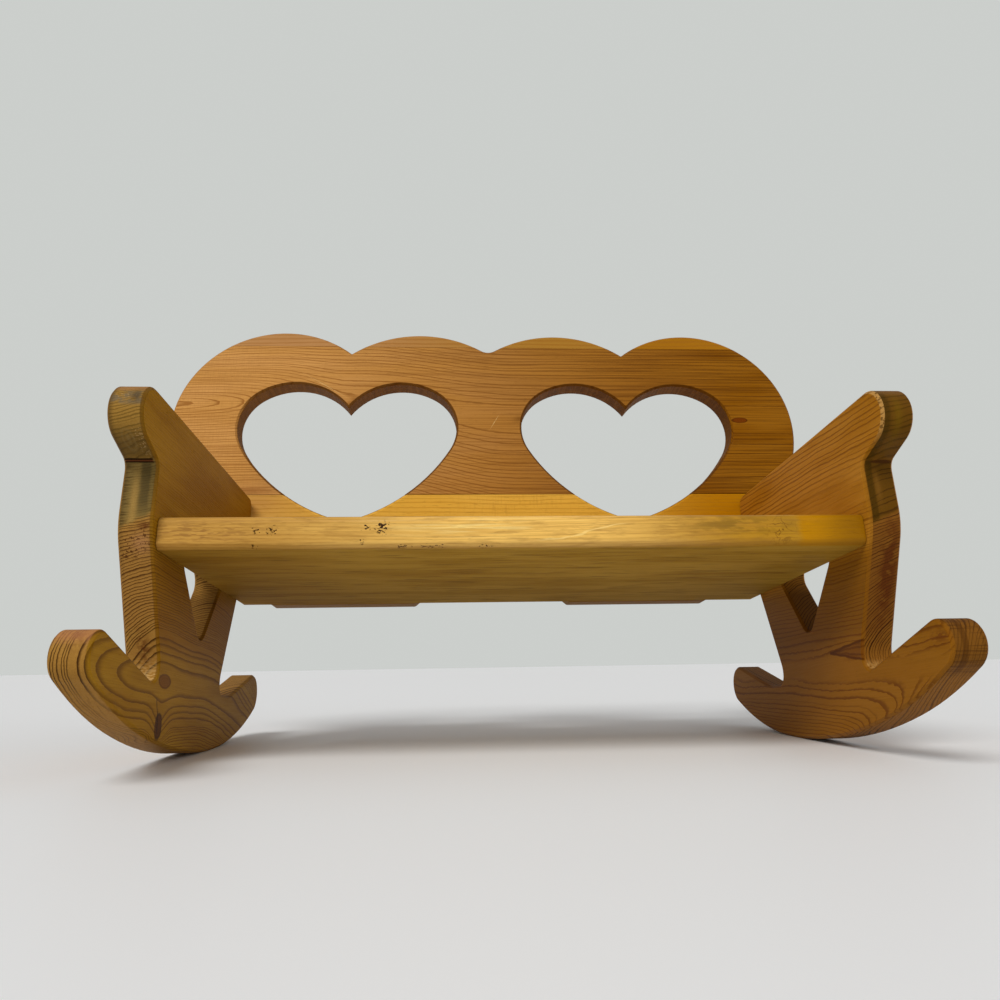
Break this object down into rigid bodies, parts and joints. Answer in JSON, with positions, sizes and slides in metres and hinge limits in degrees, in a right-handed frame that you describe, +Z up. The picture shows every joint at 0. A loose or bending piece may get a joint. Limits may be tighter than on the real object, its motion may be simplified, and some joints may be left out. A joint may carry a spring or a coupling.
{
  "type": "rocking bench",
  "caption": "Doll-size wooden rocking bench: solid ends with arm, leg and rocker in one, a seat board, and a sawn back with heart cut-outs.",
  "frame": {"origin": "middle of the bounding box on the floor, with the bench at rest on its rockers", "axes": "+X to the right for someone who faces the bench, along its length; +Y to the rear; +Z up"},
  "size_m": [0.537, 0.3026, 0.3429],
  "materials": {
    "left_end_pine": "satin varnish",
    "right_end_pine": "satin varnish",
    "seat_pine": "satin varnish",
    "back_lower_pine": "satin varnish",
    "back_main_pine": "satin varnish",
    "back_crest_pine": "satin varnish",
    "plug_wood": "satin varnish",
    "screw_steel": "zinc plated"
  },
  "bodies": {
    "root": {"left_end": "left_end_pine", "right_end": "right_end_pine", "seat_board": "seat_pine", "back_lower_board": "back_lower_pine", "back_main_board": "back_main_pine", "back_left_outer_crest": "back_crest_pine", "back_left_inner_crest": "back_crest_pine", "back_right_inner_crest": "back_crest_pine", "back_right_outer_crest": "back_crest_pine", "left_end_plugs": "plug_wood", "right_end_plugs": "plug_wood", "back_plugs": "plug_wood", "left_end_screws": "screw_steel", "right_end_screws": "screw_steel", "back_screws": "screw_steel"}
  },
  "joints": []
}
